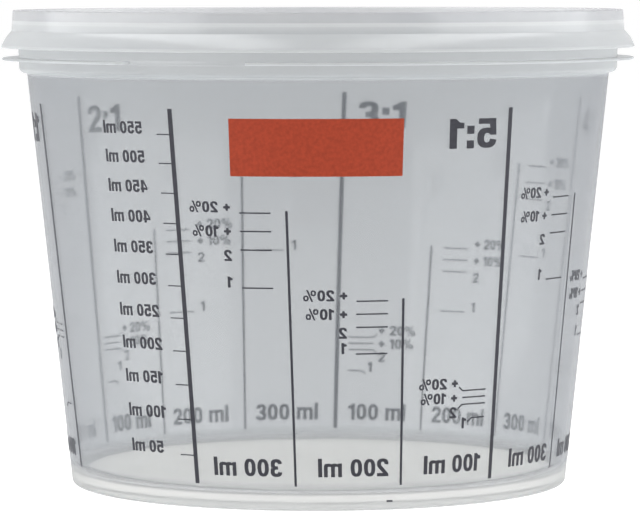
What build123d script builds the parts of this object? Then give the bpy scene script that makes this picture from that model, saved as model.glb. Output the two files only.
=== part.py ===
"""Resin mixing cup with a press-on lid, in millimetres.

The origin is the centre of the circle that the foot stands on, with +Z up. The front, where the
finger notch in the guard flange is, faces -Y. Both pieces are thin-walled mouldings, so each one
is a single closed wall section turned about the Z axis.
"""

import os
from math import cos, radians, sin, tan

from build123d import *

# Cup body
FOOT_RADIUS = 48.2
BODY_HEIGHT = 80.0
WALL_DRAFT_DEG = 6.0
CUP_WALL = 0.8
FLOOR_THICKNESS = 1.2

# Foot ring under the floor
FOOT_RING_HEIGHT = 1.6
FOOT_RING_WIDTH = 2.2
FOOT_RING_DRAFT_DEG = 12.0
FOOT_CHAMFER = 0.6

# Collar above the ledge, which carries the rim bead
LEDGE_WIDTH = 1.5
LEDGE_CHAMFER = 0.7
COLLAR_HEIGHT = 9.3
COLLAR_DRAFT_DEG = 2.0
COLLAR_WALL = 0.85
BEAD_REACH = 0.22
BEAD_HEIGHT = 0.9

# Guard flange round the collar, with the finger notch that lets the lid be lifted
FLANGE_RISE = 2.5
FLANGE_REACH = 3.2
FLANGE_THICKNESS = 0.45
NOTCH_MIDDLE_DEG = -24.5
NOTCH_WIDTH_DEG = 23.6
NOTCH_CORNER_RADIUS = 1.4
CUT_OVERRUN = 4.0

# Lid: the channel over the rim
LID_WALL = 0.6
WEB_THICKNESS = 0.95
RIM_CLEARANCE = 0.3
SNAP_RIDGE_REACH = 0.14
SNAP_RIDGE_HEIGHT = 0.5
LIP_HEIGHT = 1.85
LIP_LEAN_DEG = 3.4

# Lid: the flared skirt, which starts below the rim bead and ends above the flange
FLARE_START = 1.15
FLARE_HEIGHT = 3.3
FLARE_REACH = 2.1
FLARE_SHOULDER_HEIGHT = 1.35
FLARE_SHOULDER_REACH = 1.28
FLARE_RADIUS = 4.0

# Lid: the plug wall and the sunk panel
PLUG_CLEARANCE = 0.3
PLUG_WALL = 0.8
PLUG_DEPTH = 4.2
PLUG_CHAMFER = 0.7
PANEL_THICKNESS = 0.9

# Lid: the raised middle of the panel, which the foot ring of the next cup in a stack fits round
STACK_CLEARANCE = 0.5
STACK_RISE = 0.5
STACK_DRAFT_DEG = 45.0

# The most of a straight wall that a bend beside it may take up
BEND_ROOM_SHARE = 0.95

# Heights worked out from the sizes above
floor_under = FOOT_RING_HEIGHT
floor_top = floor_under + FLOOR_THICKNESS
ledge_under = BODY_HEIGHT
ledge_top = ledge_under + CUP_WALL
rim_top = BODY_HEIGHT + COLLAR_HEIGHT
bead_under = rim_top - BEAD_HEIGHT
flange_under = BODY_HEIGHT + FLANGE_RISE
web_under = rim_top
web_top = web_under + WEB_THICKNESS
lip_top = web_top + LIP_HEIGHT
flare_start = web_under - FLARE_START
skirt_edge = flare_start - FLARE_HEIGHT
panel_under = web_under - PLUG_DEPTH
panel_top = panel_under + PANEL_THICKNESS


def wall_outer(height):
    """Outer radius of the cup's tapered wall at a height above the foot plane."""
    return FOOT_RADIUS + height * tan(radians(WALL_DRAFT_DEG))


def wall_inner(height):
    """Inner radius of the cup's tapered wall."""
    return wall_outer(height) - CUP_WALL


def collar_outer(height):
    """Outer radius of the collar, which opens slightly towards the rim."""
    ledge_radius = wall_outer(ledge_under) + LEDGE_WIDTH
    return ledge_radius + (height - ledge_under) * tan(radians(COLLAR_DRAFT_DEG))


def collar_inner(height):
    """Inner radius of the collar."""
    return collar_outer(height) - COLLAR_WALL


def plug_outer(height):
    """Outer radius of the lid's plug wall, which follows the collar's draft inside it."""
    return collar_inner(height) - PLUG_CLEARANCE


def plug_inner(height):
    """Inner radius of the lid's plug wall, round the sunk panel."""
    return plug_outer(height) - PLUG_WALL


bead_radius = collar_outer(rim_top) + BEAD_REACH
skirt_inner = bead_radius + RIM_CLEARANCE
skirt_outer = skirt_inner + LID_WALL
lip_outer = skirt_outer - (lip_top - flare_start) * tan(radians(LIP_LEAN_DEG))
lip_inner = lip_outer - LID_WALL


def fitted_bend(before, corner, after, bend):
    """A bend's radius, made smaller where the walls on each side of its corner are too short for it."""
    walls = [Vector(*corner) - Vector(*before), Vector(*after) - Vector(*corner)]
    turn = walls[0].get_angle(walls[1])
    room = min(wall.length for wall in walls) * BEND_ROOM_SHARE
    return min(bend, room / tan(radians(turn / 2)))


# Cup body: floor on its foot ring, tapered wall, ledge, collar and rim bead in one closed section,
# drawn as (radius, height) from the axis under the floor, up the outside and down the inside
ring_inner = FOOT_RADIUS - FOOT_RING_WIDTH
ring_root = ring_inner - FOOT_RING_HEIGHT * tan(radians(FOOT_RING_DRAFT_DEG))
cup_section = [
    (0, floor_under),
    (ring_root, floor_under),
    (ring_inner, 0),
    (FOOT_RADIUS - FOOT_CHAMFER, 0),
    (wall_outer(FOOT_CHAMFER), FOOT_CHAMFER),
    (wall_outer(ledge_under), ledge_under),
    (collar_outer(ledge_under) - LEDGE_CHAMFER, ledge_under),
    (collar_outer(ledge_under + LEDGE_CHAMFER), ledge_under + LEDGE_CHAMFER),
    (collar_outer(bead_under), bead_under),
    (bead_radius, bead_under + BEAD_REACH),
    (bead_radius, rim_top),
    (collar_inner(rim_top), rim_top),
    (collar_inner(ledge_top), ledge_top),
    (wall_inner(ledge_top), ledge_top),
    (wall_inner(floor_top), floor_top),
    (0, floor_top),
]

# The guard flange is a flat ring, open over the finger notch
flange_tip = collar_outer(flange_under) + FLANGE_REACH
flange_root = collar_inner(flange_under) + COLLAR_WALL / 2
notch_ends = [NOTCH_MIDDLE_DEG - 90 + side * NOTCH_WIDTH_DEG / 2 for side in (-1, 1)]
notch_far = (flange_tip + CUT_OVERRUN) / cos(radians(NOTCH_WIDTH_DEG / 2))
notch_outline = [(notch_far * cos(radians(end)), notch_far * sin(radians(end))) for end in notch_ends]

with BuildPart() as cup_body:
    with BuildSketch(Plane.XZ):
        with BuildLine():
            Polyline(*cup_section, close=True)
        make_face()
    revolve(axis=Axis.Z)
    with BuildSketch(Plane.XY.offset(flange_under)) as flange_plan:
        Circle(flange_tip)
        Circle(flange_root, mode=Mode.SUBTRACT)
        with BuildLine():
            Polyline((0, 0), *notch_outline, close=True)
        make_face(mode=Mode.SUBTRACT)
        notch_corners = flange_plan.vertices().group_by(lambda corner: Vector(*corner).length)[-1]
        fillet(notch_corners, radius=NOTCH_CORNER_RADIUS)
    extrude(amount=FLANGE_THICKNESS)

cup_body.part.label = "cup_body"


# Lid: panel, plug, web, skirt and lip in one closed section, with the rim's place left between plug
# and skirt, drawn as (radius, height) from the axis under the panel, down the skirt and over the lip
shoulder_out = skirt_outer + FLARE_SHOULDER_REACH
shoulder_height = flare_start - FLARE_SHOULDER_HEIGHT
flare_out = skirt_outer + FLARE_REACH
stack_outer = ring_inner - STACK_CLEARANCE
stack_inner = stack_outer - STACK_RISE * tan(radians(STACK_DRAFT_DEG))
lid_section = [
    (0, panel_under + STACK_RISE),
    (stack_inner, panel_under + STACK_RISE),
    (stack_outer, panel_under),
    (plug_outer(panel_under) - PLUG_CHAMFER, panel_under),
    (plug_outer(panel_under + PLUG_CHAMFER), panel_under + PLUG_CHAMFER),
    (plug_outer(web_under), web_under),
    (skirt_inner, web_under),
    (skirt_inner, bead_under),
    (skirt_inner - SNAP_RIDGE_REACH, bead_under - SNAP_RIDGE_HEIGHT / 2),
    (skirt_inner, bead_under - SNAP_RIDGE_HEIGHT),
    (shoulder_out - LID_WALL, shoulder_height),
    (flare_out - LID_WALL, skirt_edge),
    (flare_out, skirt_edge),
    (shoulder_out, shoulder_height),
    (skirt_outer, flare_start),
    (lip_outer, lip_top),
    (lip_inner, lip_top),
    (lip_inner, web_top),
    (plug_inner(web_top), web_top),
    (plug_inner(panel_top), panel_top),
    (stack_outer, panel_top),
    (stack_inner, panel_top + STACK_RISE),
    (0, panel_top + STACK_RISE),
]

# Only the skirt's flare is bent: its inner and outer shoulders curve about one centre
flare_bends = {
    (shoulder_out - LID_WALL, shoulder_height): FLARE_RADIUS - LID_WALL,
    (shoulder_out, shoulder_height): FLARE_RADIUS,
}
bends = [
    fitted_bend(before, corner, after, flare_bends[corner]) if corner in flare_bends else 0
    for before, corner, after in zip(
        lid_section[-1:] + lid_section, lid_section, lid_section[1:] + lid_section[:1]
    )
]

with BuildPart() as snap_lid:
    with BuildSketch(Plane.XZ):
        with BuildLine():
            FilletPolyline(*lid_section, radius=bends, close=True)
        make_face()
    revolve(axis=Axis.Z)

snap_lid.part.label = "snap_lid"

os.makedirs("parts", exist_ok=True)
export_step(cup_body.part, "parts/cup_body.step")
export_step(snap_lid.part, "parts/snap_lid.step")
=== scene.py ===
"""Dresses a packed resin mixing cup: two milky mouldings, the print on the wall, and a white studio.

Lengths in the property groups are held in metres and angles in radians. An angle round the cup is measured
from the front, -Y, towards +X. A wall section is drawn as (radius, height) and turned about the Z axis.
"""

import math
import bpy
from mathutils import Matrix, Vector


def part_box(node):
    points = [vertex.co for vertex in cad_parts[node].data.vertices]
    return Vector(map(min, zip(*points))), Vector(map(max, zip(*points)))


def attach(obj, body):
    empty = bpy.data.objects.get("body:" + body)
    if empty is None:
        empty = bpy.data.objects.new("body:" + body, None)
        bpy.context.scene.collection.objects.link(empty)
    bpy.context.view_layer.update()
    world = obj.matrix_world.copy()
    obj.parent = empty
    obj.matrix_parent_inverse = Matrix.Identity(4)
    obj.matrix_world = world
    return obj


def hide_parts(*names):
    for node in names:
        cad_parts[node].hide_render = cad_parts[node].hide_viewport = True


bl_info = {
    "name": "Resin Mixing Cup",
    "version": (1, 0, 0),
    "blender": (4, 5, 0),
    "location": "View3D > Sidebar > Mixing Cup",
    "description": "Builds the plastic, print and studio of a resin mixing cup round its fixed frame",
    "category": "Object",
}

from typing import NamedTuple

import bmesh
import bpy
import numpy as np
from bpy.props import FloatProperty, FloatVectorProperty, IntProperty, PointerProperty
from mathutils import Matrix, Vector

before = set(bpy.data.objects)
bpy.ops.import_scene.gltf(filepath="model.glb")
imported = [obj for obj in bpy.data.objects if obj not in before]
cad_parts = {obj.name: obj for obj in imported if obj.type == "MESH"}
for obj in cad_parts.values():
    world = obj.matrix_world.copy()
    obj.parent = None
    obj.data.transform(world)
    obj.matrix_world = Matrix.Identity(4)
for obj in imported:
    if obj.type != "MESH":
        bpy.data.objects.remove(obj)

# A millimetre in metres, and a millilitre in cubic metres
MM = 0.001
MILLILITRE = 1e-6

# Corners of the boxes that hold the cup and the lid in the frame
CUP_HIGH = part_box("cup_body")[1]
LID_LOW, LID_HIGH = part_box("snap_lid")

# How far to each side of the finger notch's ends the cup has a section of its own
HAIR = 0.02 * MM

# Where the millilitre scale's line and the lines of the mixing columns stand round the cup, in degrees, by
# ratio and by the volume of the first part
SCALE_LINE_DEG = -27.5
SCALE_VOLUMES = range(50, 600, 50)
RATIO_PANELS = {
    5: {300: -5.0, 200: 18.1, 100: 41.0},
    4: {300: 64.9, 200: 87.2, 100: 109.4},
    3: {300: 131.6, 200: 154.1, 100: 175.9},
    2: {300: 198.4, 200: 220.9, 100: 242.8},
    1: {200: 266.7, 100: 290.7},
}

# A column's marks, from the first part up to the most thinner
MARKS = ("1", "2", "+ 10%", "+ 20%")
THINNER_SHARES = (0.1, 0.2)

# The column whose marks are crowded, how far its lowest label stands below the third, in steps from label
# to label, and how far the bent end and the label after it reach, as shares of the bent end's rise
CROWDED_MILLILITRES = 100
LOWEST_LABEL_STEPS = 1.75
LEADER_RUN_SHARE = 1.2
LEADER_LABEL_SHARE = 1.6

# Lettering: how wide each kind is beside the plain figures
SCALE_WIDTH_SHARE = 1.03
MARK_WIDTH_SHARE = 1.04
COLUMN_WIDTH_SHARE = 0.95
RATIO_WIDTH_SHARE = 1.2

# Lettering: strokes and gaps, as shares of a figure's height
FIGURE = 0.68
STEM = 0.235
BAR = 0.185
X_HEIGHT = 0.77
LETTER_GAP = 0.10
WORD_GAP = 0.40

# Lettering: how square a bowl's arcs are, the angles of a bowl without a gap, and how near to each other
# points are made one
ROUNDNESS = 2.5
FULL_BOWL = (0, 330)
WELD = 1e-4

# Plastic: refraction, how fast its scatter grows with the slant, and what a wall lets through to a lamp
PLASTIC_IOR = 1.49
SLANT_POWER = 3.0
SHADOW_TINT = (0.80, 0.82, 0.83, 1)

# Flow marks and grain in the plastic, as shares of the plain haze and of the plain roughness
FLOW_NOISE = {"Scale": 38.0, "Detail": 4.0, "Roughness": 0.55}
FLOW_SPAN = 0.36
FLOW_DARK_SHARES = (0.93, 0.93, 0.96)
FLOW_PALE_SHARES = (1.05, 1.04, 1.04)
GRAIN_NOISE = {"Scale": 900.0, "Detail": 2.0}
GRAIN_ROUGHNESS_SHARES = (0.8, 1.25)

# Ink: refraction and gloss, and its uneven film, whose thin places are a share of the plain shade and a
# little more
INK_IOR = 1.5
INK_GLOSS = 0.3
FILM_NOISE = {"Scale": 1600.0, "Detail": 3.0}
FILM_SPAN = 0.4
FILM_THIN_SHARE = 1.25
FILM_THIN_LIFT = 0.004
FILM_ROUGHNESS = (0.35, 0.6)

# Floor: the grey that it throws back at the cup, the grey and the glow that the camera sees, and its squares
FLOOR_BOARD = 0.7
FLOOR_FAINT = 0.3
FLOOR_GLOW = 0.9
FLOOR_SQUARES = 8

# How many faces light may pass, because a look through the cup and the lid meets many
LIGHT_BOUNCES = 32


def length(label, metres, description):
    """A length property, shown in the scene's own unit."""
    return FloatProperty(name=label, description=description, default=metres, unit="LENGTH", precision=5)


def angle(label, degrees, description):
    """An angle property, given here in degrees and held in radians."""
    return FloatProperty(name=label, description=description, default=math.radians(degrees), unit="ROTATION")


def factor(label, share, description):
    """A share from nothing to all."""
    return FloatProperty(name=label, description=description, default=share, min=0, max=1, subtype="FACTOR")


def watts(label, level, description):
    """The strength of a lamp, in watts."""
    return FloatProperty(name=label, description=description, default=level, min=0, unit="POWER")


def colour(label, red, green, blue, description):
    """A plain colour, in linear light."""
    return FloatVectorProperty(
        name=label, description=description, default=(red, green, blue), size=3, min=0, max=1, subtype="COLOR"
    )


class CupSizes(bpy.types.PropertyGroup):
    """Wall section of the cup, from its foot ring to its rim."""

    foot_radius: length("Foot radius", 48.2 * MM, "Outer radius of the wall where it meets the ground")
    body_height: length("Body height", 80.0 * MM, "Height of the tapered wall, up to the ledge")
    wall_draft: angle("Wall draft", 6.0, "How far the wall leans outwards")
    wall: length("Wall", 0.8 * MM, "Thickness of the tapered wall")
    floor_thickness: length("Floor", 1.2 * MM, "Thickness of the floor")
    inner_floor_bend: length("Inner floor bend", 2.6 * MM, "Radius between the floor and the wall, inside")
    ring_height: length("Foot ring height", 1.6 * MM, "How far the foot ring holds the floor off the ground")
    ring_width: length("Foot ring width", 2.2 * MM, "Width of the foot ring where it stands")
    ring_draft: angle("Foot ring draft", 12.0, "Lean of the foot ring's inner face")
    foot_bend: length("Foot bend", 0.8 * MM, "Radius of the foot's outer edge")
    ledge_width: length("Ledge width", 1.5 * MM, "How far the wall steps out below the collar")
    ledge_bend: length("Ledge bend", 1.1 * MM, "Radius of the ledge's outer edge")
    root_bend: length("Root bend", 0.3 * MM, "Small radius in the inner corners")
    collar_draft: angle("Collar draft", 2.0, "Lean of the collar above the ledge")
    collar_wall: length("Collar wall", 0.85 * MM, "Thickness of the collar")
    rim_bend: length("Rim bend", 0.2 * MM, "Radius of the rim's edges")
    bead_reach: length("Bead reach", 0.22 * MM, "How far the rim bead stands out for the lid to snap over")
    bead_height: length("Bead height", 0.9 * MM, "Height of the rim bead")
    flange_rise: length("Flange rise", 2.5 * MM, "Height of the guard flange above the ledge")
    flange_thickness: length("Flange thickness", 0.45 * MM, "Thickness of the guard flange")
    flange_bend: length("Flange bend", 0.16 * MM, "Radius of the guard flange's edges")
    notch_middle: angle("Notch middle", -24.5, "Where the finger notch in the guard flange is centred")
    notch_width: angle("Notch width", 23.6, "How much of the guard flange the finger notch takes away")
    notch_bend: length("Notch bend", 1.4 * MM, "Radius of the flange's corners beside the notch")
    notch_rib: length("Notch rib", 0.12 * MM, "What is left of the flange's root inside the notch")
    columns: IntProperty(name="Columns", description="Sections round the cup", default=360, min=48)


class LidSizes(bpy.types.PropertyGroup):
    """Wall section of the press-on lid."""

    wall: length("Wall", 0.6 * MM, "Thickness of the lid's skirt and lip")
    web: length("Web", 0.95 * MM, "Thickness of the ring that bears on the rim")
    rim_clearance: length("Rim clearance", 0.3 * MM, "Room between the rim bead and the skirt")
    ridge_reach: length("Ridge reach", 0.14 * MM, "How far the snap ridge stands in under the bead")
    ridge_height: length("Ridge height", 0.5 * MM, "Height of the snap ridge")
    lip_lean: angle("Lip lean", 3.4, "How far the upstanding lip leans inwards")
    edge_bend: length("Edge bend", 0.22 * MM, "Radius of the lip's and the skirt's free edges")
    flare_start: length("Flare start", 1.15 * MM, "How far below the rim the skirt starts to flare")
    shoulder_drop: length("Shoulder drop", 1.35 * MM, "Height of the flare's steep upper part")
    shoulder_reach: length("Shoulder reach", 1.28 * MM, "How far the flare's upper part goes out")
    flare_bend: length("Flare bend", 6.0 * MM, "Radius of the flare's shoulder")
    plug_clearance: length("Plug clearance", 0.3 * MM, "Room between the plug wall and the collar")
    plug_wall: length("Plug wall", 0.8 * MM, "Thickness of the wall round the sunk panel")
    plug_depth: length("Plug depth", 4.2 * MM, "How far the panel lies below the rim")
    plug_bend: length("Plug bend", 1.1 * MM, "Radius under the plug wall")
    panel: length("Panel", 0.9 * MM, "Thickness of the sunk panel")
    panel_bend: length("Panel bend", 0.6 * MM, "Radius in the panel's corner")
    shoulder_bend: length("Shoulder bend", 0.7 * MM, "Radius at the top of the plug wall")
    stack_clearance: length("Stack clearance", 0.5 * MM, "Room round the raised middle for a foot ring")
    stack_rise: length("Stack rise", 0.5 * MM, "Height of the panel's raised middle")
    gate_radius: length("Gate radius", 5.0 * MM, "Radius of the shallow dish round the gate mark")
    gate_depth: length("Gate depth", 0.3 * MM, "Depth of that dish")


class PrintSizes(bpy.types.PropertyGroup):
    """The scale and the mixing columns printed on the outside of the wall."""

    thickness: length("Ink thickness", 0.03 * MM, "Thickness of the printed ink")
    lift: length("Ink lift", 0.02 * MM, "Gap that keeps the ink clear of the wall")
    lean: angle("Print lean", 1.6, "How far the print is skewed round the cup over its height")
    foot: length("Print foot", 4.7 * MM, "Height where the print's lines end")
    head: length("Print head", 74.4 * MM, "Height where the main lines start")
    zero: length("Zero level", 3.05 * MM, "Height that volumes are counted from")
    main_line: length("Main line", 0.88 * MM, "Width of the main lines")
    column_line: length("Column line", 0.46 * MM, "Width of the column lines")
    tick: length("Tick", 0.21 * MM, "Thickness of the marks on the millilitre scale")
    mark: length("Mark", 0.26 * MM, "Thickness of the marks in the mixing columns")
    scale_tick: length("Scale tick length", 2.75 * MM, "Length of the marks on the millilitre scale")
    scale_gap: length("Scale gap", 3.25 * MM, "Gap between those marks and their labels")
    scale_words: length("Scale words", 9.9 * MM, "Length of the longest label of the millilitre scale")
    scale_drift: length("Scale drift", 1.5 * MM, "How much nearer to the line the lowest label ends")
    mark_gap: length("Mark gap", 2.7 * MM, "Gap between a column's line and its marks")
    mark_length: length("Mark length", 5.9 * MM, "Length of the marks in the mixing columns")
    mark_label_gap: length("Mark label gap", 1.7 * MM, "Gap between those marks and their labels")
    label_shift: length("Label shift", 1.05 * MM, "How far a label stands above or below its mark")
    crowded_gap: length("Crowded gap", 1.9 * MM, "Gap between a main line and the marks beside it")
    crowded_length: length("Crowded length", 5.3 * MM, "Length of those marks")
    crowded_inset: length("Crowded inset", 2.3 * MM, "How much shorter the lowest of those marks is")
    crowded_label_step: length("Crowded label step", 2.75 * MM, "Height from one label to the next there")
    leader: length("Leader", 0.72 * MM, "Rise of the bent end that leads to a label")
    line_overrun: length("Line overrun", 0.4 * MM, "How far a column's line passes its highest mark")
    mark_text: length("Mark text", 2.05 * MM, "Height of the labels beside the marks")
    scale_text: length("Scale text", 2.3 * MM, "Height of the millilitre labels")
    column_text: length("Column text", 3.35 * MM, "Height of the volumes under the columns")
    column_text_gap: length("Column text gap", 2.2 * MM, "Gap between a column's line and its volume")
    column_text_foot: length("Column text foot", 6.45 * MM, "Height where those volumes stand")
    ratio_text: length("Ratio text", 5.5 * MM, "Height of the mixing ratios")
    ratio_text_foot: length("Ratio text foot", 67.0 * MM, "Height where the ratios stand")
    ratio_text_gap: length("Ratio text gap", 2.6 * MM, "Gap between a ratio and its main line")
    register_angle: angle("Register angle", 15.6, "Where the press's small register mark stands")
    register_length: length("Register length", 1.15 * MM, "Length of the register mark")
    register_height: length("Register height", 1.75 * MM, "Height of the register mark above the ground")
    register_width: length("Register width", 0.36 * MM, "Thickness of the register mark")
    block_start: angle("Block start", -17.05, "Where the colour block starts")
    block_end: angle("Block end", 16.3, "Where the colour block ends")
    block_low: length("Block low", 62.2 * MM, "Height of the colour block's lower edge")
    block_high: length("Block high", 72.75 * MM, "Height of the colour block's upper edge")


class Finishes(bpy.types.PropertyGroup):
    """Colours of the plastic and the inks, the lighter hazes that paint light into bands of the plastic, and
    how the plastic scatters and blurs light.
    """

    clear_tint: colour("Clear tint", 0.945, 0.957, 0.958, "Tint of what passes straight through a wall")
    haze: colour("Haze", 0.212, 0.228, 0.252, "Colour of the milky scatter in the wall")
    # Edge haze is far lighter than the wall's haze: painted light in the ledge and the collar
    edge_haze_painted_light: colour("Edge haze", 0.585, 0.587, 0.59, "Colour of the scatter in the ledge and the collar")
    # Foot haze is lighter and warmer than the wall's haze: painted light on the foot
    foot_haze_painted_light: colour("Foot haze", 0.485, 0.48, 0.472, "Colour of the scatter in the foot")
    # Floor haze is near white: painted light on the floor, which the lamps light from above through the lid
    floor_haze_painted_light: colour("Floor haze", 0.875, 0.86, 0.84, "Colour of the scatter in the floor")
    # Rim haze is a painted highlight: bright lines at the flange's edge, the skirt's edge and along the lid's
    # web
    rim_painted_highlight: colour("Rim haze", 0.65, 0.655, 0.66, "Colour of the scatter at the flange and skirt edge")
    # Flare haze is lighter than the lid's haze: painted light on the skirt and its flare, which catch the
    # side lamps
    flare_haze_painted_light: colour("Flare haze", 0.615, 0.62, 0.627, "Colour of the scatter in the skirt's flare")
    lid_haze: colour("Lid haze", 0.505, 0.51, 0.517, "Colour of the milky scatter in the lid")
    haze_share: factor("Haze share", 0.23, "How much of the light each face of the wall scatters")
    edge_share: factor("Edge share", 0.22, "How much more a band of thicker plastic scatters")
    lid_share: factor("Lid share", 0.44, "How much of the light each face of the lid scatters")
    forward_share: factor("Forward share", 0.8, "How much of the wall's scatter goes on through it")
    lid_forward_share: factor("Lid forward share", 0.5, "How much of the lid's scatter goes on through it")
    slant_share: factor("Slant share", 0.5, "How much more a face scatters that is seen along it")
    roughness: factor("Roughness", 0.044, "How much the cup's faces blur a reflection")
    lid_roughness: factor("Lid roughness", 0.2, "How much the lid's faces blur a reflection")
    ink: colour("Ink", 0.032, 0.032, 0.042, "Printed lines and figures")
    block: colour("Block", 0.34, 0.0393, 0.0117, "Bare red block")


class StudioSizes(bpy.types.PropertyGroup):
    """Camera, floor and lamps."""

    camera_distance: length("Camera distance", 792.41 * MM, "Distance from the cup's axis to the camera")
    camera_height: length("Camera height", 99.07 * MM, "Height of the camera above the floor")
    camera_pitch: angle("Camera pitch", 3.994, "How far the camera looks down")
    camera_roll: angle("Camera roll", -0.103, "Tilt of the camera")
    camera_yaw: angle("Camera yaw", -0.023, "How far the camera is turned aside")
    lens: FloatProperty(name="Lens", description="Focal length", default=228.35, min=1, unit="CAMERA")
    view_depth: length("View depth", 30.0, "How far the camera sees")
    floor_size: length("Floor size", 12.0, "Side of the square floor")
    softbox_side: angle("Softbox side", 80.0, "How far round from the front the softboxes stand")
    softbox_distance: length("Softbox distance", 1.0, "How far each softbox is from the cup")
    softbox_width: length("Softbox width", 1.5, "Width of each softbox")
    softbox_height: length("Softbox height", 0.4, "Height of each softbox")
    low_rise: angle("Low rise", 12.0, "How far above the floor the low pair of softboxes stands")
    low_level: watts("Low level", 5.2, "Strength of each low softbox")
    high_rise: angle("High rise", 64.0, "How far above the floor the high pair of softboxes stands")
    high_level: watts("High level", 6.5, "Strength of each high softbox")
    dome_level: factor("Dome level", 0.33, "Strength of the soft light from all round")


def wall_outer(cup, height):
    """Outer radius of the tapered wall: foot radius + height * tan(draft)."""
    return cup.foot_radius + height * math.tan(cup.wall_draft)


def wall_inner(cup, height):
    """Inner radius of the tapered wall."""
    return wall_outer(cup, height) - cup.wall


def collar_outer(cup, height):
    """Outer radius of the collar: the ledge's outer radius + height above the ledge * tan(collar draft)."""
    ledge = wall_outer(cup, cup.body_height) + cup.ledge_width
    return ledge + (height - cup.body_height) * math.tan(cup.collar_draft)


def rounded_section(corners, step=math.radians(14), guard=0.25 * MM, guard_share=0.25):
    """Points of a wall section whose corners are bent.

    corners holds (radius, height, bend). At each corner the arc touches both walls at bend * tan(turn / 2)
    from it, and its points are centre + (start - centre) turned by 0 to the full turn. On each straight wall
    two guard points stand close to the arcs' ends, so that smooth shading stays inside the bends: the guard
    length away from them, but no more than the guard share of that wall.
    """
    corners = np.array(corners)
    points = corners[:, :2]
    walls = np.diff(points, axis=0)
    along = walls / np.linalg.norm(walls, axis=1)[:, None]
    rows = [points[:1]]
    for i in range(1, len(points) - 1):
        before, after, bend = along[i - 1], along[i], corners[i, 2]
        turn = math.atan2(before[0] * after[1] - before[1] * after[0], before @ after)
        setback = bend * math.tan(abs(turn) / 2)
        start = points[i] - before * setback
        side = np.array([-before[1], before[0]]) * math.copysign(bend, turn)
        turns = np.linspace(0, turn, max(2, math.ceil(abs(turn) / step) + 1))[:, None]
        arc = start + side - side * np.cos(turns) + before * np.sin(np.abs(turns)) * bend
        rows.append(arc if bend else points[i : i + 1])
    rows.append(points[-1:])
    section = [rows[0]]
    for before, after in zip(rows[:-1], rows[1:]):
        gap = after[0] - before[-1]
        reach = np.linalg.norm(gap)
        share = min(guard / reach, guard_share)
        section += [before[-1] + gap * np.array([[share], [1 - share]]), after]
    return np.vstack(section)


def column_angles(columns, edges=(), spread=()):
    """Angles round the cup: evenly spaced, with more of them at the given offsets each side of each edge."""
    even = np.linspace(-np.pi, np.pi, columns, endpoint=False)
    for edge, side in edges:
        near = edge + side * np.array(spread)
        even = even[(even < near.min()) | (even > near.max())]
        even = np.concatenate([even, near])
    return np.sort(even)


def turned_mesh(name, section, angles, reach=None):
    """A section turned about Z as one closed mesh.

    The point (r, z) at angle t becomes (r sin t, -r cos t, z). reach, if given, holds for each angle and
    section point what is added to r. The section's first and last points lie on the axis and are poles.
    """
    radius = np.tile(section[1:-1, 0], (len(angles), 1))
    if reach is not None:
        radius = radius + reach[:, 1:-1]
    height = np.tile(section[1:-1, 1], (len(angles), 1))
    turn = angles[:, None]
    rings = np.stack([radius * np.sin(turn), -radius * np.cos(turn), height], axis=2)
    count, across = radius.shape
    poles = np.array([[0, 0, section[0, 1]], [0, 0, section[-1, 1]]])
    points = np.vstack([rings.reshape(-1, 3), poles])
    grid = np.arange(count * across).reshape(count, across)
    after = np.roll(grid, -1, axis=0)
    walls = np.stack([grid[:, :-1], after[:, :-1], after[:, 1:], grid[:, 1:]], axis=2).reshape(-1, 4)
    low, high = count * across, count * across + 1
    under = np.stack([np.full(count, low), after[:, 0], grid[:, 0]], axis=1)
    over = np.stack([np.full(count, high), grid[:, -1], after[:, -1]], axis=1)
    return new_piece(name, points, walls, np.vstack([under, over]))


def new_piece(name, points, quads=(), triangles=(), smooth=True):
    """A mesh object at the origin from whole arrays of points, quads and triangles."""
    mesh = bpy.data.meshes.new(name)
    quads, triangles = np.array(quads, np.int32).reshape(-1, 4), np.array(triangles, np.int32).reshape(-1, 3)
    sizes = np.concatenate([np.full(len(quads), 4), np.full(len(triangles), 3)]).astype(np.int32)
    corners = np.concatenate([quads.ravel(), triangles.ravel()]).astype(np.int32)
    mesh.vertices.add(len(points))
    mesh.vertices.foreach_set("co", np.asarray(points, np.float32).ravel())
    mesh.loops.add(len(corners))
    mesh.loops.foreach_set("vertex_index", corners)
    mesh.polygons.add(len(sizes))
    mesh.polygons.foreach_set("loop_start", np.concatenate([[0], np.cumsum(sizes)[:-1]]).astype(np.int32))
    mesh.polygons.foreach_set("use_smooth", np.full(len(sizes), smooth))
    mesh.update(calc_edges=True)
    mesh.validate()
    piece = bpy.data.objects.new(name, mesh)
    bpy.context.scene.collection.objects.link(piece)
    return piece


def dress(piece, material, body, node):
    """Gives a moulding its material, hangs it on the empty of the body it moves with, and hides the part it
    takes the place of.
    """
    piece.data.materials.append(material)
    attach(piece, body)
    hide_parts(node)


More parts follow.
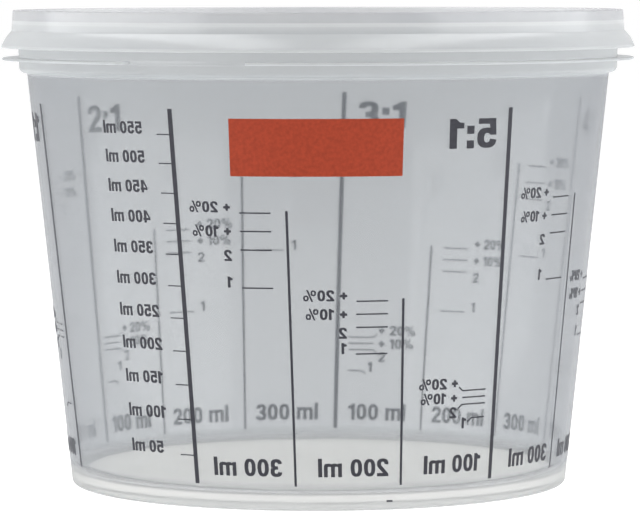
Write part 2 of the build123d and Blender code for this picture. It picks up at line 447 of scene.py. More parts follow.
class Nodes:
    """A material's or world's node tree, with short ways to add and join nodes."""

    def __init__(self, owner):
        """Starts from the owner's empty tree."""
        owner.use_nodes = True
        self.tree = owner.node_tree
        self.tree.nodes.clear()

    def add(self, kind, inputs=None, **settings):
        """A node of that kind, with its settings and its inputs, each a value or another node's output."""
        node = self.tree.nodes.new(kind)
        for key, value in settings.items():
            setattr(node, key, value)
        for key, value in (inputs or {}).items():
            if isinstance(value, bpy.types.NodeSocket):
                self.tree.links.new(value, node.inputs[key])
            else:
                node.inputs[key].default_value = value
        return node

    def math(self, operation, *values):
        """What a Math node makes of the values."""
        return self.add("ShaderNodeMath", dict(enumerate(values)), operation=operation).outputs[0]

    def tones(self, noise, span, dark, pale):
        """A colour that goes from dark to pale while the noise passes a span about its middle."""
        node = self.add("ShaderNodeValToRGB", {"Fac": noise})
        places = (0.5 - span / 2, 0.5 + span / 2)
        for stop, place, tone in zip(node.color_ramp.elements, places, (dark, pale)):
            stop.position, stop.color = place, (*tone, 1)
        return node.outputs["Color"]

    def mix(self, share, first, second):
        """A shader that is the first where the share is 0 and the second where it is 1."""
        return self.add("ShaderNodeMixShader", {"Fac": share, 1: first.outputs[0], 2: second.outputs[0]})

    def show(self, shader, kind="ShaderNodeOutputMaterial"):
        """Puts a shader on the surface."""
        self.add(kind, {"Surface": shader.outputs[0]})


class Band(NamedTuple):
    """A band of the plastic, by "height" or by "radius", that scatters more than the rest, as thicker plastic
    does, and has a haze of its own that is lighter than the plain one: painted light.

    As far as half to each side of its middle it has its own haze and scatters more, by its part of the edge
    share. Both fade out over the next fade.
    """

    measure: str
    middle: float
    half: float
    fade: float
    haze: tuple
    part: float = 1.0


def milky_plastic(name, look, haze, share, forward, roughness, bands):
    """Clear-milky polypropylene: each face lets some light through, a little blurred, and scatters a share.

    Of what is scattered, the share forward goes on through the wall, and the rest comes back. Flow marks from
    the moulding vary the haze a little, and a fine grain the roughness. A face that is seen along it scatters
    more, by slant share * (1 - cos(angle)) to the slant power. Lamps shine through.
    """
    material = bpy.data.materials.new(name)
    nodes = Nodes(material)
    place = nodes.add("ShaderNodeTexCoord").outputs["Object"]
    flow = nodes.add("ShaderNodeTexNoise", {"Vector": place, **FLOW_NOISE}).outputs["Fac"]
    grain = nodes.add("ShaderNodeTexNoise", {"Vector": place, **GRAIN_NOISE}).outputs["Fac"]
    dark = [part * shade for part, shade in zip(haze, FLOW_DARK_SHARES)]
    pale = [part * shade for part, shade in zip(haze, FLOW_PALE_SHARES)]
    haze_colour = nodes.tones(flow, FLOW_SPAN, dark, pale)
    facing = nodes.add("ShaderNodeLayerWeight", {"Blend": 0.5}).outputs["Facing"]
    slant = nodes.math("POWER", facing, SLANT_POWER)
    shares = nodes.math("MULTIPLY_ADD", slant, look.slant_share, share)
    flat = nodes.add("ShaderNodeVectorMath", {0: place, 1: (1, 1, 0)}, operation="MULTIPLY").outputs[0]
    measures = {
        "height": nodes.add("ShaderNodeSeparateXYZ", {"Vector": place}).outputs["Z"],
        "radius": nodes.add("ShaderNodeVectorMath", {0: flat}, operation="LENGTH").outputs["Value"],
    }
    # Each band mixes in its own haze, lighter than the plain one, which is painted light, and scatters more
    for band in bands:
        away = nodes.math("ABSOLUTE", nodes.math("SUBTRACT", measures[band.measure], band.middle))
        reach = {"Value": away, "From Min": band.half + band.fade, "From Max": band.half}
        milky = nodes.add("ShaderNodeMapRange", reach).outputs["Result"]
        mixed = {"Fac": milky, "Color1": haze_colour, "Color2": (*band.haze, 1)}
        haze_colour = nodes.add("ShaderNodeMixRGB", mixed).outputs["Color"]
        shares = nodes.math("MULTIPLY_ADD", milky, look.edge_share * band.part, shares)
    least, most = (roughness * blur_share for blur_share in GRAIN_ROUGHNESS_SHARES)
    blur = nodes.add("ShaderNodeMapRange", {"Value": grain, "To Min": least, "To Max": most})
    finish = {"Roughness": blur.outputs["Result"], "IOR": PLASTIC_IOR}
    see_through = {"Base Color": (*look.clear_tint, 1), "Transmission Weight": 1.0, **finish}
    clear = nodes.add("ShaderNodeBsdfPrincipled", see_through)
    scatter = nodes.add("ShaderNodeBsdfPrincipled", {"Base Color": haze_colour, **finish})
    glow = nodes.add("ShaderNodeBsdfTranslucent", {"Color": haze_colour})
    open_way = nodes.add("ShaderNodeBsdfTransparent", {"Color": SHADOW_TINT})
    body = nodes.mix(shares, clear, nodes.mix(forward, scatter, glow))
    to_lamp = nodes.add("ShaderNodeLightPath").outputs["Is Shadow Ray"]
    nodes.show(nodes.mix(to_lamp, body, open_way))
    return material


def printed_ink(name, shade, density=0.9):
    """Printing ink on plastic: satin, in a film that is density times the shade where it is thickest."""
    material = bpy.data.materials.new(name)
    nodes = Nodes(material)
    place = nodes.add("ShaderNodeTexCoord").outputs["Object"]
    film = nodes.add("ShaderNodeTexNoise", {"Vector": place, **FILM_NOISE}).outputs["Fac"]
    thick = [part * density for part in shade]
    thin = [min(1, part * FILM_THIN_SHARE + FILM_THIN_LIFT) for part in shade]
    least, most = FILM_ROUGHNESS
    blur = nodes.add("ShaderNodeMapRange", {"Value": film, "To Min": least, "To Max": most})
    finish = {"Roughness": blur.outputs["Result"], "IOR": INK_IOR, "Specular IOR Level": INK_GLOSS}
    tones = nodes.tones(film, FILM_SPAN, thick, thin)
    nodes.show(nodes.add("ShaderNodeBsdfPrincipled", {"Base Color": tones, **finish}))
    return material


class MIXCUP_OT_cup_body(bpy.types.Operator):
    """Moulded cup: foot ring, tapered wall, ledge, collar with its guard flange, and rim bead"""

    bl_idname = "mixcup.cup_body"
    bl_label = "Cup Body"

    def execute(self, context):
        cup = context.scene.mixcup_cup
        rim_top = CUP_HIGH.z
        flange_tip = CUP_HIGH.x
        floor_under = cup.ring_height
        floor_top = floor_under + cup.floor_thickness
        ledge = cup.body_height
        ledge_top = ledge + cup.wall
        bead_under = rim_top - cup.bead_height
        bead = collar_outer(cup, rim_top) + cup.bead_reach
        flange_under = ledge + cup.flange_rise
        flange_top = flange_under + cup.flange_thickness
        ring_inner = cup.foot_radius - cup.ring_width
        ring_root = ring_inner - cup.ring_height * math.tan(cup.ring_draft)
        small = cup.flange_bend
        section = rounded_section([
            (0, floor_under, 0),
            (ring_root, floor_under, cup.foot_bend),
            (ring_inner, 0, small),
            (cup.foot_radius, 0, cup.foot_bend),
            (wall_outer(cup, ledge), ledge, cup.root_bend),
            (collar_outer(cup, ledge), ledge, cup.ledge_bend),
            (collar_outer(cup, flange_under), flange_under, small),
            (flange_tip, flange_under, small),
            (flange_tip, flange_top, small),
            (collar_outer(cup, flange_top), flange_top, small),
            (collar_outer(cup, bead_under), bead_under, small),
            (bead, bead_under + cup.bead_reach, small),
            (bead, rim_top, cup.rim_bend),
            (collar_outer(cup, rim_top) - cup.collar_wall, rim_top, cup.rim_bend),
            (collar_outer(cup, ledge_top) - cup.collar_wall, ledge_top, cup.root_bend),
            (wall_inner(cup, ledge_top), ledge_top, cup.ledge_bend / 2),
            (wall_inner(cup, floor_top), floor_top, cup.inner_floor_bend),
            (0, floor_top, 0),
        ])

        # Inside the finger notch only the rib is left of the flange's full reach. At a distance s into the
        # flange beside it, the reach is full - (bend - sqrt(bend^2 - (bend - s)^2)), which rounds its corner.
        # Each point of the section past the flange's root comes in by the share of the reach that is gone.
        half = cup.notch_width / 2
        spread = np.array([-HAIR, 0, HAIR, *np.linspace(0.1, 1, 9) * cup.notch_bend]) / flange_tip
        edges = [(cup.notch_middle + side * half, side) for side in (-1, 1)]
        angles = column_angles(cup.columns, edges, spread)
        root = collar_outer(cup, flange_under)
        on_flange = (section[:, 1] > flange_under - small) & (section[:, 1] < flange_top + small)
        past_root = np.where(on_flange, np.maximum(section[:, 0] - root - small / 4, 0), 0)
        full = flange_tip - root
        into = np.clip((np.abs(angles - cup.notch_middle) - half) * flange_tip, 0, cup.notch_bend)
        corner = cup.notch_bend - np.sqrt(cup.notch_bend**2 - (cup.notch_bend - into) ** 2)
        open_way = np.abs(angles - cup.notch_middle) < half - HAIR / flange_tip / 2
        kept = np.where(open_way, cup.notch_rib, full - corner)
        piece = turned_mesh("cup_shell", section, angles, np.outer(kept / full - 1, past_root))

        look = context.scene.mixcup_finish
        bands = (
            # Foot: thicker plastic that scatters more, with painted light in its lighter haze
            Band("height", 0, floor_top, cup.inner_floor_bend, look.foot_haze_painted_light, part=1.2),
            # Ledge and collar: painted light in a lighter haze
            Band("height", rim_top, rim_top - ledge, cup.wall, look.edge_haze_painted_light),
            # Floor: thicker plastic that scatters more, with painted light from above in its near-white haze
            Band("radius", 0, ring_root - cup.wall, cup.wall, look.floor_haze_painted_light),
            # Flange: a painted highlight line along its edge
            Band("radius", flange_tip, full - cup.wall, cup.wall - small, look.rim_painted_highlight, part=0.8),
        )
        shares = look.haze_share, look.forward_share, look.roughness
        plastic = milky_plastic("cup polypropylene", look, look.haze, *shares, bands)
        dress(piece, plastic, "cup", "cup_body")
        return {"FINISHED"}


class MIXCUP_OT_snap_lid(bpy.types.Operator):
    """Press-on lid: sunk panel, plug wall, channel over the rim, flared skirt and upstanding lip"""

    bl_idname = "mixcup.snap_lid"
    bl_label = "Lid"

    def execute(self, context):
        cup, lid = context.scene.mixcup_cup, context.scene.mixcup_lid
        web_under = CUP_HIGH.z
        web_top = web_under + lid.web
        lip_top = LID_HIGH.z
        skirt_edge = LID_LOW.z
        flare_out = LID_HIGH.x
        flare_start = web_under - lid.flare_start
        shoulder = flare_start - lid.shoulder_drop
        bead_under = web_under - cup.bead_height
        panel_under = web_under - lid.plug_depth
        panel_top = panel_under + lid.panel
        skirt_inner = collar_outer(cup, web_under) + cup.bead_reach + lid.rim_clearance
        skirt_outer = skirt_inner + lid.wall
        shoulder_out = skirt_outer + lid.shoulder_reach
        lip_outer = skirt_outer - (lip_top - flare_start) * math.tan(lid.lip_lean)
        lip_inner = lip_outer - lid.wall
        stack_outer = cup.foot_radius - cup.ring_width - lid.stack_clearance
        stack_inner = stack_outer - lid.stack_rise
        middle_top = panel_top + lid.stack_rise
        edge = lid.edge_bend

        def plug_outer(height):
            """The plug wall follows the collar's inside, a clearance away."""
            return collar_outer(cup, height) - cup.collar_wall - lid.plug_clearance

        section = rounded_section([
            (0, panel_under + lid.stack_rise, 0),
            (stack_inner, panel_under + lid.stack_rise, edge),
            (stack_outer, panel_under, edge),
            (plug_outer(panel_under), panel_under, lid.plug_bend),
            (plug_outer(web_under), web_under, edge),
            (skirt_inner, web_under, edge),
            (skirt_inner, bead_under, 0),
            (skirt_inner - lid.ridge_reach, bead_under - lid.ridge_height / 2, lid.ridge_reach),
            (skirt_inner, bead_under - lid.ridge_height, 0),
            (shoulder_out - lid.wall, shoulder, lid.flare_bend - lid.wall),
            (flare_out - lid.wall, skirt_edge, edge),
            (flare_out, skirt_edge, edge),
            (shoulder_out, shoulder, lid.flare_bend),
            (skirt_outer, flare_start, edge),
            (lip_outer, lip_top, edge),
            (lip_inner, lip_top, edge),
            (lip_inner, web_top, edge),
            (plug_outer(web_top) - lid.plug_wall, web_top, lid.shoulder_bend),
            (plug_outer(panel_top) - lid.plug_wall, panel_top, lid.panel_bend),
            (stack_outer, panel_top, edge),
            (stack_inner, middle_top, edge),
            (lid.gate_radius, middle_top, edge),
            (lid.gate_radius - lid.gate_depth, middle_top - lid.gate_depth, edge),
            (0, middle_top - lid.gate_depth, 0),
        ])
        piece = turned_mesh("lid_shell", section, column_angles(cup.columns))
        look = context.scene.mixcup_finish
        web_middle, quarter = (web_under + web_top) / 2, lid.web / 4
        bands = (
            # Skirt and flare: painted light in a lighter haze
            Band("height", skirt_edge, web_under - skirt_edge, 2 * edge, look.flare_haze_painted_light, part=0.2),
            # Skirt's free edge: a painted highlight line
            Band("height", skirt_edge, edge, 2 * edge, look.rim_painted_highlight),
            # Web: a painted highlight streak along it
            Band("height", web_middle, quarter, quarter, look.rim_painted_highlight, part=0.25),
        )
        shares = look.lid_share, look.lid_forward_share, look.lid_roughness
        plastic = milky_plastic("lid polypropylene", look, look.lid_haze, *shares, bands)
        dress(piece, plastic, "lid", "snap_lid")
        return {"FINISHED"}


def fill_height(cup, prints, millilitres):
    """Height that a volume fills the cup to.

    A cone whose inner radius is r0 + k h holds pi / (3 k) * ((r0 + k h)^3 - r0^3), which is solved for h.
    """
    slope = math.tan(cup.wall_draft)
    start = wall_inner(cup, prints.zero)
    volume = millilitres * MILLILITRE
    return prints.zero + ((start**3 + 3 * slope * volume / math.pi) ** (1 / 3) - start) / slope


class WallPrint:
    """Ink shapes gathered flat and wrapped round the wall as one piece.

    A flat point (u, v, w) is u metres along the wall from a line, v up and w off the wall. It goes to the
    line's angle + u / middle radius - lean * (v - foot) / (head - foot), at radius wall(v) + lift + w, where
    middle radius is the wall's at the middle of the shape, so that a tall shape narrows with the cone.
    """

    def __init__(self, cup, prints, lean):
        """Nothing is gathered yet."""
        self.cup, self.prints, self.lean = cup, prints, lean
        self.points, self.faces, self.count = [], [], 0

    def place(self, degrees, flat, faces):
        """Adds a flat shape whose u starts at the line that stands at that many degrees."""
        prints = self.prints
        u, v, w = flat.T
        radius = wall_outer(self.cup, v)
        middle_radius = (radius.min() + radius.max()) / 2
        lean = self.lean * (v - prints.foot) / (prints.head - prints.foot)
        turn = math.radians(degrees) + u / middle_radius - lean
        radius = radius + prints.lift + w
        self.points.append(np.stack([radius * np.sin(turn), -radius * np.cos(turn), v], axis=1))
        self.faces.append(faces + self.count)
        self.count += len(flat)

    def strip(self, degrees, path, width):
        """A line of even width along a flat path of (u, v): a box whose section is carried along the path.

        At each point the section lies along (n1 + n2) / (1 + n1 . n2), where n1 and n2 are the normals of the
        runs before and after it, so that the corners are mitred.
        """
        path = np.array(path)
        runs = np.diff(path, axis=0)
        normals = np.column_stack([-runs[:, 1], runs[:, 0]]) / np.linalg.norm(runs, axis=1)[:, None]
        before, after = np.vstack([normals[:1], normals]), np.vstack([normals, normals[-1:]])
        side = (before + after) / (1 + (before * after).sum(axis=1))[:, None] * width / 2
        flat = np.stack([path - side, path - side, path + side, path + side], axis=1)
        height = np.broadcast_to(np.array([0, 1, 1, 0]) * self.prints.thickness, flat.shape[:2])
        rings = np.concatenate([flat, height[:, :, None]], axis=2)
        grid = np.arange(len(path) * 4).reshape(-1, 4)
        turned = np.roll(grid, -1, axis=1)
        quads = np.stack([grid[:-1], grid[1:], turned[1:], turned[:-1]], axis=2).reshape(-1, 4)
        quads = np.vstack([quads, grid[0], grid[-1][::-1]])
        self.place(degrees, rings.reshape(-1, 3), np.vstack([quads[:, [0, 1, 2]], quads[:, [0, 2, 3]]]))

    def bar(self, degrees, start, end, height, width, steps=6):
        """A level mark from u = start to u = end."""
        u = np.linspace(start, end, steps)
        self.strip(degrees, np.column_stack([u, np.full(steps, height)]), width)

    def upright(self, degrees, low, high, width, steps=12):
        """A line up the wall."""
        v = np.linspace(low, high, steps)
        self.strip(degrees, np.column_stack([np.zeros(steps), v]), width)

    def text(self, degrees, words, start, foot, height, width_share=1.0, ends=False):
        """Lettering that reads from inside the cup, so seen from outside it runs from right to left.

        The flat lettering (x, y) goes to u = start - x * height * share. Where ends is true, start is where
        the lettering ends instead.
        """
        flat, faces = lettering(words)
        x = flat[:, 0] * height * width_share
        if ends:
            start += x.max()
        placed = np.column_stack([start - x, foot + flat[:, 1] * height, flat[:, 2] * self.prints.thickness])
        self.place(degrees, placed, faces[:, ::-1])

    def piece(self, name, material):
        """Makes the gathered shapes one object, which rides on the cup."""
        made = new_piece(name, np.vstack(self.points), triangles=np.vstack(self.faces), smooth=False)
        tidy = bmesh.new()
        tidy.from_mesh(made.data)
        bmesh.ops.recalc_face_normals(tidy, faces=tidy.faces)
        tidy.to_mesh(made.data)
        tidy.free()
        made.data.materials.append(material)
        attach(made, "cup")


def bow(centre, radii, start, end, count=13):
    """An arc of a superellipse, from start to end in degrees.

    x = centre + radius * cos(t) to the power 2 / roundness, with cos(t)'s own sign, and y the same with
    sin(t): a roundness of 2 is an ellipse, and more makes the flanks straighter.
    """
    turns = np.radians(np.linspace(start, end, count))
    ring = np.stack([np.cos(turns), np.sin(turns)], axis=1)
    return np.array(centre) + np.array(radii) * np.sign(ring) * np.abs(ring) ** (2 / ROUNDNESS)


def bowl(middle, high, side=FIGURE / 2):
    """Outer and inner arcs of a figure's bowl, as functions of the start and end angle."""
    centre = (side, middle)

    def outer(start, end):
        """Along the bowl's outside."""
        return bow(centre, (side, high), start, end)

    def inner(start, end):
        """Along its inside, a stem's width in at the sides and a bar's at the top and foot."""
        return bow(centre, (side - STEM, high - BAR), start, end)

    return outer, inner


def box(left, low, right, high):
    """A rectangle's corners."""
    return np.array([(left, low), (right, low), (right, high), (left, high)])


# Each sign is a width and a list of closed outlines, where a figure is 1 high and reads from left to right


def figure_0():
    """One bowl, and the hole in it."""
    outer, inner = bowl(0.5, 0.5)
    return FIGURE, [outer(*FULL_BOWL), inner(*FULL_BOWL)]


def figure_1():
    """A stem with a flag that slopes down to the left."""
    left, tip = 0.22, 0.86
    right = left + STEM
    flag = [(left + STEM * 0.2, 1), (0.14, tip + 0.02), (0, tip), (0, tip - BAR), (left, tip - BAR)]
    return right, [np.array([(right, 0), (right, 1), *flag, (left, 0)])]


def figure_2():
    """A bowl open to the left, which runs down to a flat foot."""
    outer, inner = bowl(0.70, 0.30)
    foot = [(STEM * 1.35, BAR), (FIGURE, BAR), (FIGURE, 0), (0, 0), (0, BAR * 0.75)]
    return FIGURE, [np.vstack([outer(185, -38), foot, inner(-42, 185)])]


def figure_3():
    """Two bowls open to the left, the upper one a little narrower, with a spur between them."""
    half = 0.25 + BAR / 4
    upper, upper_in = bowl(1 - half, half, FIGURE / 2 * 0.97)
    lower, lower_in = bowl(half, half)
    spur = [(0.24, 0.5 - BAR / 2), (0.24, 0.5 + BAR / 2)]
    outside = np.vstack([upper(175, -52), lower(52, -175)])
    return FIGURE, [np.vstack([outside, lower_in(-175, 90), spur, upper_in(-90, 175)])]


def figure_4():
    """A stem, a bar across it and a slope from the bar's left end, round a three-cornered hole."""
    overhang = 0.08
    left, right = FIGURE - STEM - overhang, FIGURE - overhang
    low, high = 0.20, 0.20 + BAR
    stem = [(left - 0.02, 1), (right, 1), (right, high), (FIGURE, high), (FIGURE, low), (right, low)]
    outline = [*stem, (right, 0), (left, 0), (left, low), (0, low), (0, high)]
    return FIGURE, [np.array(outline), np.array([(left, high), (left, 0.74), (STEM * 0.62, high)])]


def figure_5():
    """A flat head, a short neck and a bowl open to the left."""
    outer, inner = bowl(0.345, 0.345)
    right = FIGURE * 0.94
    head = [(0.05, 1), (right, 1), (right, 1 - BAR), (STEM * 1.1, 1 - BAR), (STEM * 1.02, 0.645)]
    neck = [(STEM * 0.95, 0.44), (0.02, 0.44)]
    return FIGURE, [np.vstack([head, outer(115, -172), inner(-172, 128), neck])]


def letter_m():
    """Three stems under two arches."""
    width, stem = 1.05, STEM * 0.95
    middle = (width - stem) / 2
    arch = (middle - stem) / 2
    shoulder = X_HEIGHT - arch - BAR * 0.6
    rise = X_HEIGHT - shoulder

    def inside(left):
        """The gap's top under one arch, from right to left."""
        return bow((left + arch, shoulder), (arch, rise - BAR), 0, 180, 9)

    half = middle / 2
    left_arch = bow((stem + half, shoulder), (half, rise), 140, 40, 7)
    right_arch = bow((width - half - stem / 4, shoulder), (half + stem / 4, rise), 140, 0, 9)
    outline = [
        [(0, 0), (0, X_HEIGHT), (stem * 0.92, X_HEIGHT)], left_arch, right_arch,
        [(width, 0), (width - stem, 0)], inside(middle + stem), [(middle + stem, 0), (middle, 0)],
        inside(stem), [(stem, 0)],
    ]
    return width, [np.vstack(outline)]


def letter_l():
    """A stem a little taller than a figure."""
    return STEM, [box(0, 0, STEM, 1.04)]


def plus_sign():
    """Four arms: a quarter of the outline, turned by quarter turns."""
    reach, half, middle = 0.31, 0.11, 0.48
    quarter = np.array([(reach, -half), (reach, half), (half, half)])
    turn = np.array([[0, 1], [-1, 0]])
    arms = [quarter @ np.linalg.matrix_power(turn, i) for i in range(4)]
    return 2 * reach, [np.vstack(arms) + (reach, middle)]


def percent_sign():
    """Two small rings and a slash between them."""
    width, ring, wall = 1.12, np.array([0.24, 0.27]), 0.15
    centres = [(ring[0], 1 - ring[1]), (width - ring[0], ring[1])]
    rings = [bow(centre, radii, *FULL_BOWL) for centre in centres for radii in (ring, ring - wall)]
    slash = np.array([(0.27, -0.03), (0.43, -0.03), (0.85, 1.03), (0.69, 1.03)])
    return width, [*rings, slash]


def colon():
    """Two square dots."""
    return STEM, [box(0, 0, STEM, 0.27), box(0, 0.49, STEM, 0.76)]


GLYPHS = {
    "0": figure_0, "1": figure_1, "2": figure_2, "3": figure_3, "4": figure_4, "5": figure_5,
    "m": letter_m, "l": letter_l, "+": plus_sign, "%": percent_sign, ":": colon,
}


def lettering(words):
    """Flat bold lettering, one unit high, as (points, triangles): x along the words, y up, z from 0 to 1."""
    curve = bpy.data.curves.new("lettering", "CURVE")
    curve.dimensions = "2D"
    curve.fill_mode = "BOTH"
    curve.extrude = 0.5
    reach = 0
    for sign in words:
        if sign == " ":
            reach += WORD_GAP
            continue
        width, outlines = GLYPHS[sign]()
        for outline in outlines:
            spline = curve.splines.new("POLY")
            spline.points.add(len(outline) - 1)
            flat = np.zeros((len(outline), 4))
            flat[:, :2] = outline + (reach, 0)
            spline.points.foreach_set("co", flat.ravel())
            spline.use_cyclic_u = True
        reach += width + LETTER_GAP
    carrier = bpy.data.objects.new("lettering", curve)
    bpy.context.scene.collection.objects.link(carrier)
    bpy.context.view_layer.update()
    mesh = bpy.data.meshes.new_from_object(carrier.evaluated_get(bpy.context.evaluated_depsgraph_get()))
    tidy = bmesh.new()
    tidy.from_mesh(mesh)
    bmesh.ops.remove_doubles(tidy, verts=tidy.verts, dist=WELD)
    bmesh.ops.triangulate(tidy, faces=tidy.faces)
    points = np.array([vertex.co for vertex in tidy.verts]) + (0, 0, curve.extrude)
    faces = np.array([[vertex.index for vertex in face.verts] for face in tidy.faces])
    tidy.free()
    bpy.data.objects.remove(carrier)
    bpy.data.curves.remove(curve)
    bpy.data.meshes.remove(mesh)
    return points, faces


class MIXCUP_OT_millilitre_scale(bpy.types.Operator):
    """Millilitre scale from 50 to 550, whose marks stand where those volumes fill the cup to"""

    bl_idname = "mixcup.millilitre_scale"
    bl_label = "Millilitre Scale"

    def execute(self, context):
        cup, prints = context.scene.mixcup_cup, context.scene.mixcup_print
        scale = WallPrint(cup, prints, prints.lean)
        scale.upright(SCALE_LINE_DEG, prints.foot, prints.head, prints.main_line)
        tick_start = -prints.main_line / 3
        tick_end = -prints.main_line / 2 - prints.scale_tick
        highest_end = tick_end - prints.scale_gap - prints.scale_words
        for millilitres in SCALE_VOLUMES:
            level = fill_height(cup, prints, millilitres)
            drop_share = (prints.head - level) / (prints.head - prints.foot)
            words_end = highest_end + prints.scale_drift * drop_share
            scale.bar(SCALE_LINE_DEG, tick_end, tick_start, level, prints.tick)
            label = SCALE_LINE_DEG, f"{millilitres} ml", words_end, level, prints.scale_text
            scale.text(*label, SCALE_WIDTH_SHARE, ends=True)
        scale.piece("scale_print", printed_ink("scale ink", context.scene.mixcup_finish.ink))
        return {"FINISHED"}


class MIXCUP_OT_mixing_columns(bpy.types.Operator):
    """Mixing columns: for each ratio, marks for the first part, the second part and added thinner"""

    bl_idname = "mixcup.mixing_columns"
    bl_label = "Mixing Columns"

    def execute(self, context):
        cup, prints = context.scene.mixcup_cup, context.scene.mixcup_print
        ink = printed_ink("column ink", context.scene.mixcup_finish.ink)
        for ratio, columns in RATIO_PANELS.items():
            panel = WallPrint(cup, prints, prints.lean)
            for millilitres, degrees in columns.items():
                self.column(cup, prints, panel, ratio, millilitres, degrees)
            start = -prints.main_line / 2 - prints.ratio_text_gap
            main_line = columns[CROWDED_MILLILITRES]
            label = main_line, f"{ratio}:1", start, prints.ratio_text_foot, prints.ratio_text
            panel.text(*label, RATIO_WIDTH_SHARE)
            if ratio == max(RATIO_PANELS):
                half = prints.register_length / 2
                mark = math.degrees(prints.register_angle), -half, half, prints.register_height
                panel.bar(*mark, prints.register_width)
            panel.piece(f"ratio_{ratio}_print", ink)
        return {"FINISHED"}

    def column(self, cup, prints, panel, ratio, millilitres, degrees):
        """One column: its line, its four marks with their labels, and its volume at the foot."""
        both = 1 + 1 / ratio
        shares = (1, both, *(both + thinner for thinner in THINNER_SHARES))
        levels = [fill_height(cup, prints, millilitres * share) for share in shares]
        crowded = millilitres == CROWDED_MILLILITRES
        line = prints.main_line if crowded else prints.column_line
        top = prints.head if crowded else levels[-1] + prints.line_overrun
        panel.upright(degrees, prints.foot, top, line)
        if crowded:
            self.crowded_marks(prints, panel, degrees, levels)
        else:
            self.roomy_marks(prints, panel, degrees, levels)
        start = -line / 2 - prints.column_text_gap
        words = f"{millilitres} ml"
        panel.text(degrees, words, start, prints.column_text_foot, prints.column_text, COLUMN_WIDTH_SHARE)

    def roomy_marks(self, prints, panel, degrees, levels):
        """Marks with room beside them: a label stands level with its mark, or a little above or below."""
        end = -prints.column_line / 2 - prints.mark_gap
        start = end - prints.mark_length
        words_start = start - prints.mark_label_gap
        shift = prints.label_shift
        for level, label, rise in zip(levels, MARKS, (shift, -shift, 0, shift)):
            panel.bar(degrees, start, end, level, prints.mark)
            foot = level + rise - prints.mark_text / 2
            panel.text(degrees, label, words_start, foot, prints.mark_text, MARK_WIDTH_SHARE)

    def crowded_marks(self, prints, panel, degrees, levels):
        """Marks too close for their labels: a short bent end leads up or down to each label."""
        end = -prints.main_line / 2 - prints.crowded_gap
        step = prints.crowded_label_step
        bend = prints.leader
        drops = (-bend, -bend, 0, bend)
        middles = levels[2] + np.array([-LOWEST_LABEL_STEPS, -1, 0, 1]) * step
        insets = (prints.crowded_inset, 0, 0, 0)
        for level, label, drop, middle, inset in zip(levels, MARKS, drops, middles, insets):
            start = end - prints.crowded_length + inset
            path = [(end, level), (start, level)]
            if drop:
                path.append((start - bend * LEADER_RUN_SHARE, level + drop))
            panel.strip(degrees, path, prints.mark)
            words_start = start - bend * LEADER_LABEL_SHARE
            foot = middle - prints.mark_text / 2
            panel.text(degrees, label, words_start, foot, prints.mark_text, MARK_WIDTH_SHARE)


class MIXCUP_OT_colour_block(bpy.types.Operator):
    """Bare red block printed high on the front of the wall"""

    bl_idname = "mixcup.colour_block"
    bl_label = "Colour Block"

    def execute(self, context):
        cup, prints = context.scene.mixcup_cup, context.scene.mixcup_print
        block = WallPrint(cup, prints, 0)
        middle = (prints.block_start + prints.block_end) / 2
        height = (prints.block_low + prints.block_high) / 2
        half = (prints.block_end - prints.block_start) / 2 * wall_outer(cup, height)
        block.bar(math.degrees(middle), -half, half, height, prints.block_high - prints.block_low, steps=64)
        block.piece("colour_block", printed_ink("block ink", context.scene.mixcup_finish.block, 0.94))
        return {"FINISHED"}


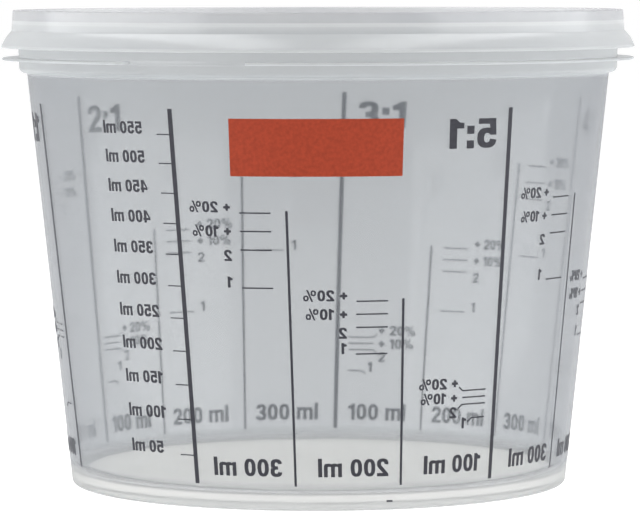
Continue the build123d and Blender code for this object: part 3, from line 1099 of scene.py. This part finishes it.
class MIXCUP_OT_studio(bpy.types.Operator):
    """White floor and surround, soft lamps, and the camera"""

    bl_idname = "mixcup.studio"
    bl_label = "Studio"

    def execute(self, context):
        studio = context.scene.mixcup_studio
        self.camera(context.scene, studio)
        self.surround(context.scene, studio)
        self.floor(studio)
        for name, side in (("left", -studio.softbox_side), ("right", studio.softbox_side)):
            self.softbox(f"low_{name}", studio, side, studio.low_rise, studio.low_level)
            self.softbox(f"high_{name}", studio, side, studio.high_rise, studio.high_level)
        context.scene.view_settings.view_transform = "Standard"
        for limit in ("max_bounces", "transmission_bounces", "transparent_max_bounces"):
            setattr(context.scene.cycles, limit, LIGHT_BOUNCES)
        return {"FINISHED"}

    def camera(self, scene, studio):
        """A long lens in front of the cup, looking a little down."""
        eye = bpy.data.objects.new("camera", bpy.data.cameras.new("camera"))
        place = Matrix.Translation((0, -studio.camera_distance, studio.camera_height))
        yaw = Matrix.Rotation(studio.camera_yaw, 4, "Z")
        pitch = Matrix.Rotation(math.pi / 2 - studio.camera_pitch, 4, "X")
        eye.matrix_world = place @ yaw @ pitch @ Matrix.Rotation(studio.camera_roll, 4, "Z")
        eye.data.lens = studio.lens
        eye.data.clip_end = studio.view_depth
        scene.collection.objects.link(eye)
        scene.camera = eye

    def surround(self, scene, studio):
        """A world that is white to the camera, gloss and clear plastic, and a soft light to the rest."""
        scene.world = bpy.data.worlds.new("surround")
        nodes = Nodes(scene.world)
        seen = seen_ray(nodes)
        level = nodes.add("ShaderNodeMapRange", {"Value": seen, "To Min": studio.dome_level, "To Max": 1.0})
        white = {"Color": grey(1), "Strength": level.outputs["Result"]}
        nodes.show(nodes.add("ShaderNodeBackground", white), "ShaderNodeOutputWorld")

    def floor(self, studio):
        """A plain white floor that keeps a faint shadow, and is open when it is seen from below."""
        half = studio.floor_size / 2
        steps = np.linspace(-half, half, FLOOR_SQUARES + 1)
        x, y = np.meshgrid(steps, steps, indexing="ij")
        points = np.stack([x, y, np.zeros_like(x)], axis=2).reshape(-1, 3)
        grid = np.arange(x.size).reshape(x.shape)
        quads = np.stack([grid[:-1, :-1], grid[1:, :-1], grid[1:, 1:], grid[:-1, 1:]], axis=2).reshape(-1, 4)
        floor = new_piece("floor", points, quads, smooth=False)
        material = bpy.data.materials.new("white floor")
        nodes = Nodes(material)
        board = nodes.add("ShaderNodeBsdfDiffuse", {"Color": grey(FLOOR_BOARD)})
        faint = nodes.add("ShaderNodeBsdfDiffuse", {"Color": grey(FLOOR_FAINT)})
        glow = nodes.add("ShaderNodeEmission", {"Color": grey(1), "Strength": FLOOR_GLOW})
        lit = nodes.add("ShaderNodeAddShader", {0: faint.outputs[0], 1: glow.outputs[0]})
        open_way = nodes.add("ShaderNodeBsdfTransparent")
        below = nodes.add("ShaderNodeNewGeometry").outputs["Backfacing"]
        nodes.show(nodes.mix(below, nodes.mix(seen_ray(nodes), board, lit), open_way))
        floor.data.materials.append(material)

    def softbox(self, name, studio, side, rise, level):
        """A rectangular lamp that faces the middle of the cup.

        It stands along (sin s cos r, -cos s cos r, sin r), s being its side angle and r its rise.
        """
        lamp = bpy.data.lights.new(name, "AREA")
        lamp.shape = "RECTANGLE"
        lamp.size, lamp.size_y = studio.softbox_width, studio.softbox_height
        lamp.energy = level
        away = Vector((math.sin(side) * math.cos(rise), -math.cos(side) * math.cos(rise), math.sin(rise)))
        stand = bpy.data.objects.new(name, lamp)
        stand.location = Vector((0, 0, CUP_HIGH.z / 2)) + away * studio.softbox_distance
        stand.rotation_euler = away.to_track_quat("Z", "Y").to_euler()
        bpy.context.scene.collection.objects.link(stand)


def grey(level):
    """A grey for a node's colour."""
    return level, level, level, 1


def seen_ray(nodes):
    """1 for camera, glossy and transmission rays, which see the white surround, and 0 for the rest."""
    ray = nodes.add("ShaderNodeLightPath").outputs
    first = nodes.math("MAXIMUM", ray["Is Camera Ray"], ray["Is Glossy Ray"])
    return nodes.math("MAXIMUM", first, ray["Is Transmission Ray"])


class MIXCUP_PT_panel(bpy.types.Panel):
    """Builds the mixing cup piece by piece"""

    bl_label = "Mixing Cup"
    bl_idname = "MIXCUP_PT_panel"
    bl_space_type = "VIEW_3D"
    bl_region_type = "UI"
    bl_category = "Mixing Cup"

    def draw(self, context):
        for operator in OPERATORS:
            self.layout.operator(operator.bl_idname)
        for group in GROUPS:
            rows = self.layout.box()
            settings = getattr(context.scene, group)
            for name in settings.bl_rna.properties.keys():
                if name not in ("rna_type", "name"):
                    rows.prop(settings, name)


OPERATORS = (
    MIXCUP_OT_studio,
    MIXCUP_OT_cup_body,
    MIXCUP_OT_snap_lid,
    MIXCUP_OT_millilitre_scale,
    MIXCUP_OT_mixing_columns,
    MIXCUP_OT_colour_block,
)
GROUPS = {
    "mixcup_cup": CupSizes,
    "mixcup_lid": LidSizes,
    "mixcup_print": PrintSizes,
    "mixcup_finish": Finishes,
    "mixcup_studio": StudioSizes,
}


def register():
    """Makes the property groups, operators and panel known."""
    for cls in (*GROUPS.values(), *OPERATORS, MIXCUP_PT_panel):
        bpy.utils.register_class(cls)
    for name, group in GROUPS.items():
        setattr(bpy.types.Scene, name, PointerProperty(type=group))


def unregister():
    """Takes them away again."""
    for name in GROUPS:
        delattr(bpy.types.Scene, name)
    for cls in (MIXCUP_PT_panel, *reversed(OPERATORS), *reversed(list(GROUPS.values()))):
        bpy.utils.unregister_class(cls)


def main():
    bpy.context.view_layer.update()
    register()
    bpy.ops.mixcup.studio()
    bpy.ops.mixcup.cup_body()
    bpy.ops.mixcup.snap_lid()
    bpy.ops.mixcup.millilitre_scale()
    bpy.ops.mixcup.mixing_columns()
    bpy.ops.mixcup.colour_block()


if __name__ == "__main__":
    main()
